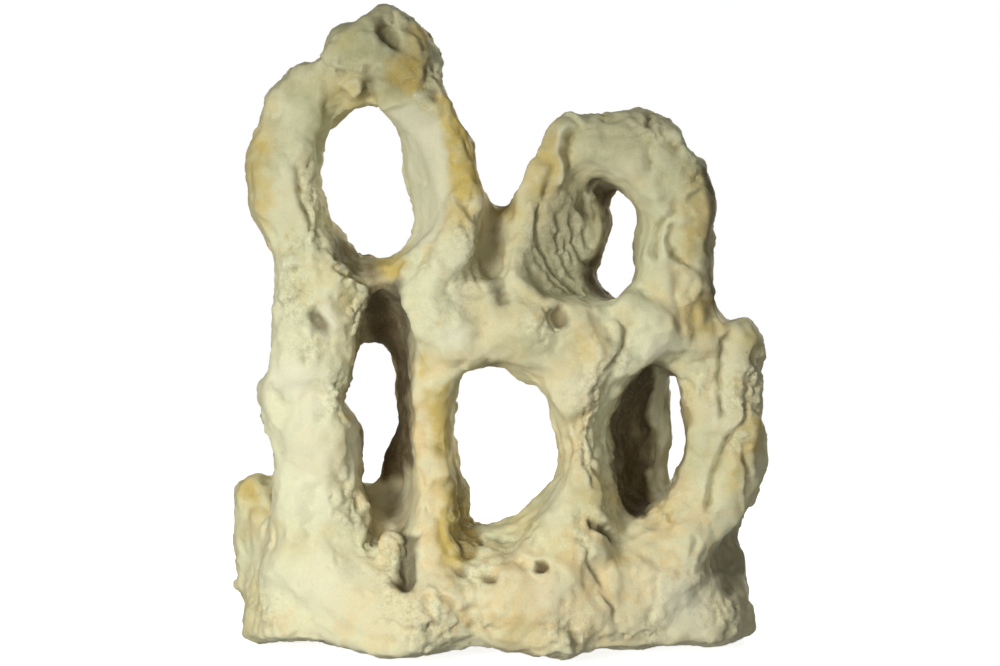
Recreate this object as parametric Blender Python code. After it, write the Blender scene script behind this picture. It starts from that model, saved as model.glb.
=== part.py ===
"""A holed sandstone rock: one upright stone, worn through by five holes.

+Z is up, -Y is the front, and the origin is on the flat underside. Run it with
blender --background --python part.py, or from Blender's text editor.

The stone is drawn in elevation, as an eye in front of it sees it. A drawn point is (x, z) in millimetres
on the plane y = 0, and a depth carries it along its sight line, in front of that plane (-) or behind it (+).
"""

import math

import bmesh
import bpy
from mathutils import Matrix, Vector

MM = 0.001

# ---- driving dimensions, in millimetres
EYE = Vector((0, -1284, 344))  # where the sight lines meet
FRONT, BACK = -100, 88         # depths clear of the stone on either side, where the cutters end
BLOCK_GRAIN, STONE_GRAIN = 2.6, 2.0
SWELLS = (24, 9)               # size and height of the worn swells
PITTING = (10, 1.8)            # size and height of the finer unevenness
FACES_KEPT = 0.07              # share of the skin's faces that are kept

# The outer edge of the stone, drawn clockwise from its left foot.
SILHOUETTE = [
    (-112, -1), (-118, 5), (-115, 13), (-115, 20), (-120.5, 24), (-120.5, 32), (-119.5, 38), (-120.5, 46),
    (-118.5, 59), (-118, 68), (-115.5, 74.5), (-109, 77), (-105, 75), (-99, 72.5), (-99, 80), (-103.5, 92),
    (-107, 106), (-109, 117), (-107, 121.5), (-101, 123), (-101, 128), (-103, 136), (-101, 148), (-99.5, 163),
    (-99.5, 174), (-103.5, 183), (-110.5, 195), (-111, 203), (-113, 210), (-112, 223), (-107.5, 229),
    (-104, 243), (-100.5, 250), (-95, 253), (-93, 258), (-87, 261), (-79, 260), (-76, 269), (-72, 276),
    (-60, 280.5), (-55, 285), (-50, 287), (-45, 285), (-40, 280), (-34, 277), (-30, 270), (-25.5, 264),
    (-25.5, 249), (-20.5, 240), (-19, 235), (-11.5, 226), (-10, 215), (-6.5, 202), (0, 197), (8, 202),
    (15, 213), (19, 220), (20, 230), (25, 235), (29, 238), (35, 237), (50, 239.5), (58, 241), (66, 241),
    (73.5, 236), (78, 231.5), (79, 227), (82.5, 221.5), (91, 216.5), (94.5, 206), (96, 196), (93.5, 188),
    (94, 170), (95, 153), (97.5, 145.5), (101, 143.5), (111, 148), (117, 139), (118.5, 130), (118.5, 120),
    (116.5, 110), (118, 106), (116, 103), (120, 92), (119, 78), (116, 67), (106.5, 54), (104.5, 49.5),
    (109.5, 38), (110, 28), (115, 9), (114, 3), (108, -1), (102, -2.5), (88, -1.5), (72, -3), (58, -5.2),
    (44, -3), (37, -6), (30, -8.5), (20, -9.2), (10, -7), (0, -3.5), (-16, -2.2), (-24, -4.5), (-40, -9),
    (-47, -10.5), (-56, -8.5), (-66, -4.5), (-76, -2.5), (-82, 0.5), (-90, 1.6), (-98, 0), (-104, -2),
]

# Each limb is a run of (x, z, depth, radius).
LIMBS = {
    "left_column": [(-80, -10, -22, 30), (-81, 25, -25, 27), (-81, 60, -26, 21.5), (-82, 95, -26, 21),
                    (-84, 120, -24, 21.5), (-81, 145, -22, 20.5), (-81, 166, -20, 20),
                    (-91, 190, -16, 19.5), (-95.5, 214, -10, 18), (-91.5, 238, -6, 16), (-87, 250, -2, 13)],
    "left_column_back": [(-82, 20, 18, 25), (-84, 60, 14, 18), (-85, 110, 10, 18.5), (-83, 155, 10, 18),
                         (-92, 195, 8, 15), (-93, 225, 6, 13.5)],
    "left_crown": [(-92, 234, -4, 15), (-78, 250, -4, 15.5), (-62, 260, -6, 18.5), (-46, 263, -6, 18.5),
                   (-38, 252, -6, 18), (-32, 238, -7, 18), (-27, 220, -6, 18), (-25, 196, -8, 19),
                   (-27, 172, -14, 20)],
    "left_crown_back": [(-88, 238, 10, 11), (-60, 258, 10, 15), (-38, 250, 8, 16), (-28, 222, 8, 15),
                        (-22, 190, 12, 16), (-30, 160, 12, 18)],
    "crown_ridge": [(-32, 250, -18, 8), (-22, 236, -22, 7), (-16, 214, -26, 7), (-16, 198, -29, 8),
                    (-24, 172, -34, 9), (-31, 150, -34, 9)],
    "middle_pillar": [(-30, 165, -20, 18), (-32, 140, -24, 16), (-30, 118, -27, 12), (-29, 98, -28, 11.5),
                      (-31, 74, -30, 12), (-31, 50, -32, 14), (-34, 20, -36, 18), (-42, -4, -38, 22)],
    "middle_pillar_core": [(-34, 140, -8, 16), (-32, 100, -8, 15), (-30, 62, -8, 17), (-32, 20, -8, 24)],
    "middle_pillar_back": [(-38, 160, 8, 18), (-38, 128, 12, 15), (-35, 98, 14, 15), (-37, 72, 14, 16),
                           (-36, 45, 16, 21), (-36, 10, 16, 26)],
    "saddle_back": [(-52, 158, 12, 16), (-36, 172, 10, 18), (-14, 180, 4, 19), (4, 180, 0, 19),
                    (18, 190, 6, 15), (24, 205, 4, 12)],
    "shelf_left": [(-70, 158, 8, 18), (-50, 156, 10, 18)],
    "shelf_front": [(-72, 163, -15, 12), (-58, 165, -16, 11.5), (-45, 166, -17, 12.5), (-34, 170, -18, 14)],
    "sill_left": [(-78, 53, 12, 20), (-58, 53, 12, 20.5), (-44, 50, 10, 20)],
    "band": [(-34, 150, -22, 20), (-14, 146, -26, 20.5), (8, 144, -27, 20.5), (28, 138, -28, 18),
             (46, 138, -24, 18), (64, 140, -18, 18), (84, 142, -8, 19), (98, 132, 0, 16)],
    "band_back": [(-30, 148, 10, 22), (0, 152, 8, 26), (30, 146, 8, 24), (60, 142, 10, 20),
                  (90, 142, 14, 18)],
    "bowl_rim": [(30, 224, -6, 12), (21, 208, -12, 11), (13, 192, -18, 9), (9, 172, -24, 9),
                 (14, 155, -28, 10), (34, 148, -28, 11), (56, 150, -22, 12)],
    "bowl_wall": [(18, 205, 4, 13), (20, 182, 2, 17), (26, 164, 2, 16), (40, 152, 6, 16)],
    "bowl_floor": [(25, 207, -2, 13), (24, 188, -6, 15), (26, 169, -6, 15), (40, 157, -4, 13)],
    "bowl_floor_inner": [(40, 205, 4, 11), (36, 190, 4, 13.5), (34, 174, 4, 13.5), (46, 158, 4, 12)],
    "bowl_wall_back": [(36, 208, 16, 13), (38, 188, 20, 15), (38, 168, 22, 15), (48, 150, 20, 16)],
    "right_arch": [(24, 217, -4, 14.5), (36, 223, -6, 16.5), (52, 222, -7, 18), (65, 219, -7, 20),
                   (76, 206, -6, 19.5), (77, 188, -6, 18.5), (76, 168, -8, 19.5), (77, 148, -10, 20)],
    "right_arch_back": [(26, 215, 10, 12), (50, 222, 10, 15), (70, 214, 10, 17), (77, 190, 14, 15),
                        (78, 165, 16, 16), (84, 145, 16, 18)],
    "front_pillar": [(36, 140, -28, 17), (33, 116, -29, 14.5), (36, 92, -30, 11), (35, 70, -31, 14),
                     (31, 48, -34, 20), (22, 20, -38, 22), (20, 0, -38, 22)],
    "front_pillar_core": [(43, 136, -6, 21), (41, 112, -6, 20), (43, 90, -6, 19), (42, 66, -6, 22),
                          (42, 30, -6, 26)],
    "front_pillar_back": [(60, 134, 14, 18), (58, 108, 16, 20), (58, 84, 16, 20), (58, 58, 16, 20),
                          (52, 24, 14, 26)],
    "rear_fin": [(68, 130, 32, 11), (68, 105, 33, 11), (68, 82, 33, 11), (66, 56, 30, 15),
                 (60, 20, 26, 20)],
    "right_limb": [(98, 136, -2, 19), (99, 116, -2, 19), (101, 94, -4, 19.5), (98, 72, -8, 20),
                   (88, 54, -14, 20), (74, 34, -20, 24), (60, 10, -22, 26)],
    "right_limb_back": [(102, 120, 14, 14), (102, 90, 16, 14), (96, 60, 18, 18), (88, 25, 16, 22)],
    "base_front": [(-95, 8, -10, 23), (-68, 18, -30, 24), (-42, 10, -40, 23), (-12, 20, -33, 25),
                   (20, 13, -40, 23), (50, 15, -28, 25), (86, 12, -14, 23)],
    "base_sill": [(-60, 42, -4, 22), (-34, 36, -14, 22), (0, 33, -18, 22), (30, 34, -18, 24),
                  (60, 36, -12, 22)],
    "base_back": [(-92, 16, 14, 26), (-50, 18, 18, 30), (0, 14, 20, 30), (50, 16, 18, 30), (92, 16, 8, 24)],
    "right_foot": [(86, 30, 4, 20), (99, 20, 2, 16), (106, 5, -2, 13)],
}

# Each lump is (x, z, depth, half width, half depth, half height, tilt in degrees in the drawing).
LUMPS = [
    (-104.5, 50, 4, 17, 19, 28, 0),
    (-103, 24, 2, 19, 20, 26, 0),
    (-108, 62, 4, 11.5, 15, 15, 0),
    (-100, 2, -4, 18, 20, 14, 0),
    (-101, 112, -8, 8, 12, 12, 0),
    (-50, 273, -4, 18, 20, 14.5, 0),
    (-67, 268, -6, 14, 18, 12.5, 20),
    (-37, 263, -2, 13.5, 17, 16.5, 0),
    (-89, 250, -2, 13, 15, 13.5, 0),
    (-63, 247, -18, 6, 7, 6, 0),
    (-83, 198, 4, 8, 12, 16, 10),
    (-70, 152, -24, 13, 14, 12, 0),
    (-64, 90, -12, 7, 12, 11, 0),
    (-48, 43.5, -40, 6, 9, 6.5, 0),
    (-48, 80, 12, 8, 9, 12, 0),
    (14, 125, -10, 11, 16, 9, 0),
    (20, 57, -12, 10, 16, 10, 0),
    (30, 226, -6, 13, 15, 12.5, 30),
    (58, 229, -4, 20, 18, 13.5, 0),
    (83, 208, -4, 11, 14, 12, 0),
    (86, 190, -2, 11, 14, 20, 0),
    (105.5, 134, 0, 14, 16, 16, 0),
    (109.5, 86, 0, 12, 16, 20, 0),
    (20, 10, -36, 20, 22, 18, 0),
    (-46, 8, -38, 22, 22, 18, 0),
]

# Each hole is its loops from front to back, as (depths, drawn points), clockwise from the top of the hole.
# A loop with two depths gives the tunnel a short level throat between them.
HOLES = {
    "upper_left": [
        ((-34,), [(-54, 247), (-42, 242), (-31, 230), (-26, 214), (-24, 200), (-26, 190), (-33, 181),
                  (-42, 174.5), (-51, 170), (-59, 166.5), (-68, 171), (-76, 182), (-80, 192), (-82, 208),
                  (-78, 224), (-68, 240)]),
        ((-5, 9), [(-58, 237.5), (-49, 233.5), (-43.5, 225), (-41.5, 219), (-42, 213), (-38, 200), (-37, 190),
                   (-39, 181.5), (-45.5, 175.5), (-54, 174.5), (-65, 181.5), (-73.5, 188.5), (-75, 195),
                   (-74.5, 203), (-78.5, 210), (-77.5, 219), (-73, 226), (-66.5, 233.5)]),
        ((34,), [(-64, 248), (-51, 244), (-42, 230), (-39, 212), (-36, 194), (-37, 182), (-44, 173),
                 (-60, 172), (-76, 180), (-85, 194), (-88, 210), (-85, 226), (-77, 241)]),
    ],
    "centre": [
        ((-34,), [(-2, 128), (10, 125), (19, 117), (25, 106), (30, 95), (31, 84), (27, 72), (19, 60),
                  (6, 52), (-6, 50), (-14, 52), (-19, 60), (-21, 72), (-24, 84), (-24, 98), (-22, 112),
                  (-15, 124)]),
        ((-8, 8), [(-4, 122), (5, 120), (12.5, 115), (18.5, 106), (25, 95), (27.5, 88), (26.5, 79),
                   (19.5, 69.5), (10, 60.5), (-1, 54), (-5, 53), (-14, 54.5), (-15.5, 61), (-14, 67),
                   (-17.5, 75), (-18, 82), (-20, 90), (-19, 103), (-18, 112), (-13, 118.5)]),
        ((34,), [(0, 134), (14, 130), (24, 120), (31, 106), (34, 92), (32, 78), (24, 64), (10, 53),
                 (-6, 50), (-16, 54), (-19, 68), (-21, 82), (-21, 98), (-20, 114), (-12, 128)]),
    ],
    "lower_left": [
        ((-34,), [(-50, 161), (-43, 159), (-39.5, 150), (-38.5, 135), (-38, 115), (-38, 95), (-38, 75),
                  (-38.5, 62), (-40.5, 53), (-45, 50), (-51, 53), (-57, 58), (-61, 70), (-60, 88), (-63, 99),
                  (-70, 105), (-71, 112), (-67, 120), (-65, 132), (-62, 145), (-57, 157)]),
        ((-18,), [(-51, 158), (-44, 155), (-41, 145), (-40.5, 130), (-40, 112), (-40, 95), (-40.5, 74),
                  (-41.5, 62), (-45, 56), (-50, 55), (-57, 57), (-60.5, 70), (-60.5, 88), (-63, 99),
                  (-69.5, 106), (-70, 112), (-66.5, 120), (-64, 132), (-61, 145), (-57, 155)]),
        ((-4,), [(-53, 146), (-46, 140), (-43, 126), (-42.5, 108), (-43, 92), (-44, 74), (-47, 64),
                 (-54, 62), (-61, 66), (-62.5, 79), (-61.5, 91), (-62.5, 101), (-67.5, 107), (-68.5, 111),
                 (-65, 121), (-61, 134)]),
        ((8, 18), [(-56, 136), (-49, 130.5), (-46, 122), (-45.5, 107), (-47.5, 96), (-54, 87), (-55, 78),
                   (-57.5, 74.5), (-62.5, 74), (-64, 79), (-62, 91), (-62.5, 101), (-67, 107),
                   (-68.5, 111), (-64.5, 121), (-60, 132)]),
        ((40,), [(-64, 142), (-54, 134), (-50, 118), (-50, 100), (-54, 84), (-62, 74), (-72, 74), (-77, 88),
                 (-77, 106), (-75, 124), (-71, 136)]),
    ],
    "upper_right": [
        ((-34, -27), [(40, 215), (52, 210), (60, 202), (63.5, 192), (62.5, 184), (61.5, 170), (59, 160),
                      (50, 153.5), (34, 154.5), (20, 158), (13, 166), (11, 180), (13, 194), (20, 204),
                      (30, 212)]),
        ((-4,), [(47, 207), (54, 203.5), (59.5, 197), (61, 190), (60, 184), (58.5, 176), (58, 168),
                 (56.5, 159.5), (52, 155.8), (44, 158.5), (39.5, 164.5), (40, 171), (43, 178), (45, 184),
                 (46, 190), (44.5, 196), (42.5, 202)]),
        ((24,), [(55, 203), (64, 200), (69, 192), (70, 180), (69, 168), (63, 156), (54, 154.5), (47.5, 159.5),
                 (42, 165.5), (44, 171), (47.5, 177), (49.5, 183), (51.5, 188), (51, 193), (50, 198)]),
        ((46,), [(66, 212), (76, 204), (80, 190), (80, 174), (74, 160), (62, 152), (50, 154), (42, 166),
                 (48, 182), (51, 194), (55, 205)]),
    ],
    "lower_right": [
        ((-34, -16), [(69, 127), (77, 122.5), (81.5, 115), (82, 106), (84.5, 94), (83.5, 82), (79.5, 71.5),
                      (71, 62.5), (64, 57), (56, 60.5), (51, 74), (49.5, 95), (52, 109), (58, 120)]),
        ((2,), [(74, 124), (78, 120), (80.5, 114), (80.5, 107), (83.2, 94), (82, 82), (78.5, 71.5),
                (71, 64), (65, 62), (60, 71), (58.5, 88), (59, 104), (64, 117)]),
        ((26,), [(81, 121.5), (90, 119), (94, 108), (94, 92), (90, 79), (82, 72.5), (77, 74), (75.5, 83),
                 (76.5, 95), (76, 106), (75.5, 115)]),
        ((48,), [(90, 131), (100, 122), (103, 106), (102, 88), (96, 74), (86, 66), (77, 70), (75, 84),
                 (76, 98), (76, 112), (80, 125)]),
    ],
}

# The notch between the two towers, which stays open from front to back, clockwise from its bottom.
NOTCH = [
    (1, 197.3), (-3.5, 199), (-6.5, 203.5), (-9.3, 213), (-10.5, 222), (-14, 240), (-14, 262), (20, 262),
    (18, 228), (14, 213), (9.5, 205), (5.5, 199.7),
]

# Each hollow is (x, z, depth, half width, half depth, half height, tilt in degrees in the drawing).
HOLLOWS = [
    (101, 37, -22, 8.5, 15, 11, 35),
    (103.5, 26, -22, 4.5, 13, 6, 0),
    (107, 49, -16, 6, 13, 6, -30),
    (-42.6, 34, -52, 5.8, 14, 15, 3),
    (-41, 53, -48, 4.8, 13, 12, 0),
    (-50, 271.5, -26, 8.5, 9, 3.6, -44),
    (-82, 145, -46, 7, 9, 5, -45),
    (27, 148, -44, 5, 8, 6, -30),
]


def clear_scene():
    for thing in list(bpy.data.objects):
        bpy.data.objects.remove(thing)


def behind(x, z, depth):
    """The point at that depth on the sight line through the drawn point (x, z), in metres."""
    drawn = Vector((x, 0, z))
    along = drawn - EYE
    return (drawn + along * (depth / along.y)) * MM


def add_object(name, mesh, helper=False):
    made = bpy.data.objects.new(name, mesh)
    bpy.context.scene.collection.objects.link(made)
    made.hide_render = helper
    made.display_type = "WIRE" if helper else "TEXTURED"
    return made


def finished(shape, name):
    mesh = bpy.data.meshes.new(name)
    shape.to_mesh(mesh)
    shape.free()
    return mesh


def closed_curve(points, count):
    """A smooth closed curve through the drawn points, as count points evenly spaced from the first."""
    dense = []
    total = len(points)
    for i in range(total):
        before, start, end, after = (Vector(points[(i + k) % total]) for k in (-1, 0, 1, 2))
        for step in range(8):
            t = step / 8
            dense.append(
                start
                + (end - before) * (t / 2)
                + (before - start * 2.5 + end * 2 - after / 2) * t**2
                + (start * 1.5 - before / 2 - end * 1.5 + after / 2) * t**3
            )
    dense.append(dense[0])
    lengths = [0.0]
    for a, b in zip(dense, dense[1:]):
        lengths.append(lengths[-1] + (b - a).length)
    even, at = [], 0
    for k in range(count):
        target = lengths[-1] * k / count
        while lengths[at + 1] < target:
            at += 1
        share = (target - lengths[at]) / max(lengths[at + 1] - lengths[at], 1e-9)
        even.append(dense[at].lerp(dense[at + 1], share))
    return even


def lofted(name, loops):
    """A closed cutter through loops of (drawn points, depth), all with the same number of points."""
    shape = bmesh.new()
    rings = [[shape.verts.new(behind(p.x, p.y, depth)) for p in points] for points, depth in loops]
    count = len(rings[0])
    for near, far in zip(rings, rings[1:]):
        for i in range(count):
            j = (i + 1) % count
            shape.faces.new((near[i], near[j], far[j], far[i]))
    shape.faces.new(rings[0][::-1])
    shape.faces.new(rings[-1])
    bmesh.ops.triangulate(shape, faces=[f for f in shape.faces if len(f.verts) > 4])
    bmesh.ops.recalc_face_normals(shape, faces=shape.faces)
    return add_object(name, finished(shape, name), helper=True)


def rounded(loop, passes):
    """The same loop with its small bumps worn away."""
    for _ in range(passes):
        loop = [(loop[i - 1] + p * 2 + loop[(i + 1) % len(loop)]) / 4 for i, p in enumerate(loop)]
    return loop


def silhouette():
    """What lies inside the outer edge, whose small bumps stand out half-way through and fade either way."""
    edge = closed_curve(SILHOUETTE, 320)
    worn, smooth = rounded(edge, 12), rounded(edge, 60)
    loops = [(smooth, FRONT), (worn, -34), (edge, -12), (edge, 4), (worn, 26), (smooth, BACK)]
    return lofted("silhouette", loops)


def opened(loop, by):
    """The loop widened from its middle, for the ends of a cutter that stand clear of the stone."""
    middle = sum(loop, Vector((0, 0))) / len(loop)
    return [middle + (p - middle) * by for p in loop]


def hole(name):
    loops = [(closed_curve(drawn, 64), depth) for depths, drawn in HOLES[name] for depth in depths]
    mouth, far_mouth = loops[0][0], loops[-1][0]
    return lofted(name, [(opened(mouth, 1.35), FRONT)] + loops + [(opened(far_mouth, 1.35), BACK)])


def notch():
    edge = closed_curve(NOTCH, 64)
    return lofted("notch", [(edge, FRONT), (edge, BACK)])


def ball(shape, x, z, depth, half_width, half_depth, half_height, tilt):
    turn = Matrix.Rotation(math.radians(-tilt), 4, "Y")
    sizes = Matrix.Diagonal((half_width * MM, half_depth * MM, half_height * MM, 1))
    place = Matrix.Translation(behind(x, z, depth))
    bmesh.ops.create_icosphere(shape, subdivisions=3, radius=1, matrix=place @ turn @ sizes)


def hollows():
    shape = bmesh.new()
    for hollow in HOLLOWS:
        ball(shape, *hollow)
    pits = add_object("hollows", finished(shape, "hollows"), helper=True)
    fuse(pits, STONE_GRAIN, 1)
    return pits


def limb_mesh(points):
    """A tapering round limb through (x, z, depth, radius) points."""
    path = bpy.data.curves.new("limb", "CURVE")
    path.dimensions = "3D"
    path.bevel_depth = 1
    path.bevel_resolution = 6
    path.resolution_u = 8
    path.use_fill_caps = True
    run = path.splines.new("BEZIER")
    run.bezier_points.add(len(points) - 1)
    run.radius_interpolation = "CARDINAL"
    for knot, (x, z, depth, radius) in zip(run.bezier_points, points):
        knot.co = behind(x, z, depth)
        knot.radius = radius * MM
        knot.handle_left_type = knot.handle_right_type = "AUTO"
    carrier = bpy.data.objects.new("limb", path)
    mesh = bpy.data.meshes.new_from_object(carrier)
    bpy.data.objects.remove(carrier)
    return mesh


def block():
    """Every limb and lump as overlapping shells in one mesh, which the Remesh modifier fuses."""
    shape = bmesh.new()
    for points in LIMBS.values():
        shape.from_mesh(limb_mesh(points))
        for x, z, depth, radius in (points[0], points[-1]):
            ball(shape, x, z, depth, radius, radius, radius, 0)
    for lump in LUMPS:
        ball(shape, *lump)
    return finished(shape, "rock")


def fuse(stone, grain, smoothing):
    """Joins what overlaps into one skin, then rounds its creases."""
    skin = stone.modifiers.new("skin", "REMESH")
    skin.mode = "VOXEL"
    skin.voxel_size = grain * MM
    soften = stone.modifiers.new("soften", "SMOOTH")
    soften.factor = 0.5
    soften.iterations = smoothing


def weather(stone, name, size, height):
    """Swells and dips of about that size, so that the limbs don't read as round tubes."""
    clouds = bpy.data.textures.new(name, "CLOUDS")
    clouds.noise_scale = size * MM
    clouds.noise_depth = 2
    worn = stone.modifiers.new(name, "DISPLACE")
    worn.texture = clouds
    worn.texture_coords = "LOCAL"
    worn.mid_level = 0.5
    worn.strength = height * MM


def cut(stone, cutter, operation="DIFFERENCE"):
    made = stone.modifiers.new(cutter.name, "BOOLEAN")
    made.operation = operation
    made.object = cutter
    made.solver = "EXACT"


def ground():
    shape = bmesh.new()
    bmesh.ops.create_cube(shape, size=0.4, matrix=Matrix.Translation((0, 0, -0.2)))
    return add_object("ground", finished(shape, "ground"), helper=True)


def sandstone():
    made = bpy.data.materials.new("sandstone")
    made.use_nodes = True
    shader = made.node_tree.nodes["Principled BSDF"]
    shader.inputs["Base Color"].default_value = (0.60, 0.55, 0.38, 1)
    shader.inputs["Roughness"].default_value = 0.92
    return made


def build():
    clear_scene()
    stone = add_object("rock", block())
    fuse(stone, BLOCK_GRAIN, 8)
    weather(stone, "swells", *SWELLS)
    cut(stone, silhouette(), "INTERSECT")
    cut(stone, notch())
    for name in HOLES:
        cut(stone, hole(name))
    cut(stone, hollows())
    fuse(stone, STONE_GRAIN, 5)
    weather(stone, "pitting", *PITTING)
    fewer = stone.modifiers.new("fewer_faces", "DECIMATE")
    fewer.ratio = FACES_KEPT
    cut(stone, ground())
    stone.data.materials.append(sandstone())


build()
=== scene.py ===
"""The looks of the holed sandstone rock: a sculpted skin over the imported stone, its sandstone, and a studio.

The stone's own details are drawn in elevation, as the camera sees them: a drawn point is (x, z) in
millimetres on the plane y = 0, and it lies where its sight line meets the stone.
"""

import math

import bmesh
import bpy
import numpy as np
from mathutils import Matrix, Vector, noise
from mathutils.bvhtree import BVHTree


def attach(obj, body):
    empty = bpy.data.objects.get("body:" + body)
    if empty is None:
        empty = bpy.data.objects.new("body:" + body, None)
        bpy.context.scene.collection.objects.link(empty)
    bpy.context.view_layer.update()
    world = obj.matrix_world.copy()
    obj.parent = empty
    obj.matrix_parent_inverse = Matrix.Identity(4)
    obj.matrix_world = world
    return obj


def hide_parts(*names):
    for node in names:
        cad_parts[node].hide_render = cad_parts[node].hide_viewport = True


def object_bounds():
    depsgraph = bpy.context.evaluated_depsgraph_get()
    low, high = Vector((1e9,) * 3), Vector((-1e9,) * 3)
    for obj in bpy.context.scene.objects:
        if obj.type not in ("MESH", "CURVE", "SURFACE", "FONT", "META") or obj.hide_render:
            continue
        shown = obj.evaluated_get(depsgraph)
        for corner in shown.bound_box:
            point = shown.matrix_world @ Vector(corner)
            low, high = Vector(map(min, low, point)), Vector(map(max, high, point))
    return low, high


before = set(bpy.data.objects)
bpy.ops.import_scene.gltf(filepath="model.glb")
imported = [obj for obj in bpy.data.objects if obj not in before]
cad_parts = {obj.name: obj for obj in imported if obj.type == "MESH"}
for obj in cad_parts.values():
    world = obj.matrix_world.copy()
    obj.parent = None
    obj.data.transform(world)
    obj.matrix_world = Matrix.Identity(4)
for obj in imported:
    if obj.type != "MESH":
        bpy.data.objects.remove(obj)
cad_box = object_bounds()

MM = 0.001

# ---- the camera, which is also the eye that the details are drawn from
LENS = 105
SENSOR = 36
AIM = Vector((0, 0, 0.1405))
CAMERA_DISTANCE = 1.30
CAMERA_HEIGHT = math.radians(9)
EYE = AIM + Vector((0, -math.cos(CAMERA_HEIGHT), math.sin(CAMERA_HEIGHT))) * CAMERA_DISTANCE

# ---- the skin
# The dense mesh's spacing, before it is thinned.
GRAIN = 0.8 * MM
MOST_TRIANGLES = 198_000
# How far the skin may stand past the CAD's box, at each end of each side, as a part of that side.
PROUD = 0.014
# How often the points in a worn place are averaged with their neighbours, and so rounded.
WEAR_ROUNDS = 50
# The push has folded the skin over itself where the new normal's dot with the old one is below this.
FOLDED = 0.3
# How often the points in a folded place are averaged with their neighbours.
MEND_ROUNDS = 15
# The rays that measure how open each point's surroundings are, and how far they look, in metres.
SKY_RAYS = 20
SKY_REACH = 0.15
# Where the camera doesn't see the stone, what is sunk into it is deeper by this share.
DEEPER_BEHIND = 0.7
# The relief fades out towards the floor over this height.
FOOT = 4 * MM
# How dear each point is when the mesh is thinned, and how much that counts.
KEEP_BEHIND = 0.1
KEEP_IN_SIGHT = 0.9
KEEP_STRENGTH = 0.00015
# Each octave of the noise is this much finer than the one before, and fades by this exponent.
FINER = 2.1
FADING = 0.9

# ---- the studio
# How strongly the white world lights the stone. The camera sees it at full strength.
AMBIENT = 0.15
FLOOR_GLOW = 0.80
# The floor is solid out to the first radius, in metres, and gone at the second.
FLOOR_FADES = (0.20, 0.55)
# The floor lies a hair under the stone, so that the two faces don't flicker.
FLOOR_LEVEL = -0.0004

# ---- the sandstone's colours, as linear red, green and blue
CREAM = (0.70, 0.69, 0.44)
SAND = (0.70, 0.61, 0.36)
YELLOWED = (0.72, 0.62, 0.33)
WARM = (0.71, 0.57, 0.30)
RUST = (0.68, 0.50, 0.23)
# Chalk: the pale tone and the grain, with painted light in the pale places and a painted highlight on the
# crests.
CHALK = (0.75, 0.74, 0.55)
# Olive: partly a real tint, partly painted shade on the upper parts.
OLIVE = (0.35, 0.35, 0.18)
OCHRE_STAIN = (0.58, 0.44, 0.12)
# Grey brown: the crumbly speckle, and partly painted shade on the column's side and in the bowl.
GREY_BROWN = (0.36, 0.33, 0.22)
# Brown: the grain, and the painted shade of the creases.
BROWN = (0.28, 0.22, 0.10)
# Dark brown: partly the patina of the hollows, partly painted shade in the recesses.
DARK_BROWN = (0.16, 0.11, 0.04)
# Near black brown: partly the dark patina of the hollows, partly painted shade.
DIRT_AND_SHADE = (0.065, 0.040, 0.013)

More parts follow.
